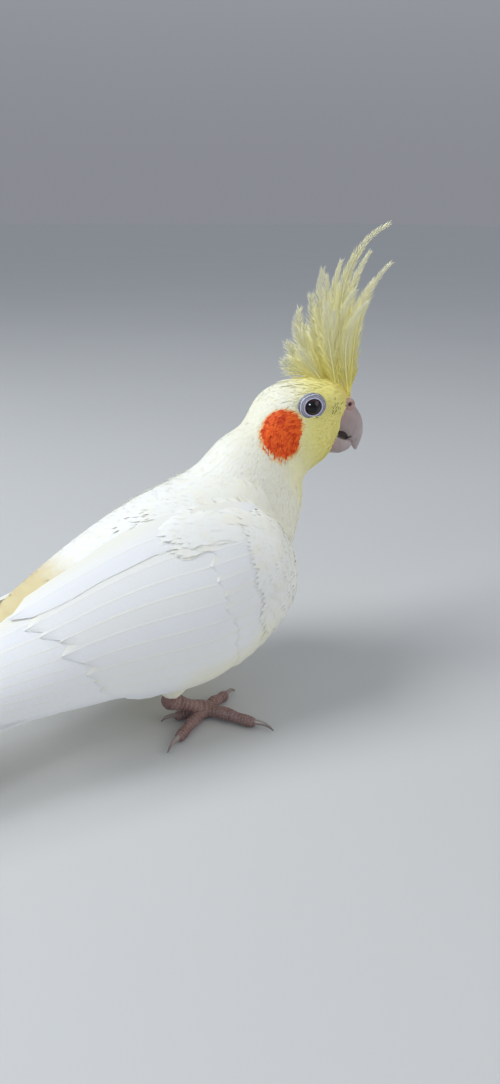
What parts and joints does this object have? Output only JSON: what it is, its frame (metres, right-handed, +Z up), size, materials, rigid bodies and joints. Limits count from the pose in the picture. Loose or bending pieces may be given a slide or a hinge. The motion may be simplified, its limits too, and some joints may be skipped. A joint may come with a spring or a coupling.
{
  "type": "cockatiel",
  "caption": "Lutino cockatiel with a raised crest, standing with folded wings, its head turned to its right and the tip of its long tail on the floor.",
  "frame": {"origin": "bottom centre of the bounding box, on the floor that the feet and the tail tip rest on", "axes": "+X forward, from the tail to the breast; +Y to the bird's left; +Z up"},
  "size_m": [0.2694, 0.0662, 0.1465],
  "materials": {
    "feathers_white": "matte white feathers with a slight yellow tint",
    "feathers_pale_yellow": "matte pale yellow feathers",
    "bill_horn": "greyish beige horn with a satin finish",
    "claw_horn": "greyish brown horn",
    "scaly_skin": "pinkish brown scaly skin",
    "eye": "wet, very dark reddish brown"
  },
  "bodies": {
    "root": {"head": "feathers_pale_yellow", "neck": "feathers_white", "torso": "feathers_white", "tail": "feathers_pale_yellow", "bill_upper": "bill_horn", "bill_lower": "bill_horn", "wing_right": "feathers_white", "thigh_right": "feathers_white", "foot_right": "scaly_skin", "eye_right": "eye", "claw_right_1": "claw_horn", "claw_right_2": "claw_horn", "claw_right_3": "claw_horn", "claw_right_4": "claw_horn", "wing_left": "feathers_white", "thigh_left": "feathers_white", "foot_left": "scaly_skin", "eye_left": "eye", "claw_left_1": "claw_horn", "claw_left_2": "claw_horn", "claw_left_3": "claw_horn", "claw_left_4": "claw_horn"}
  },
  "joints": []
}
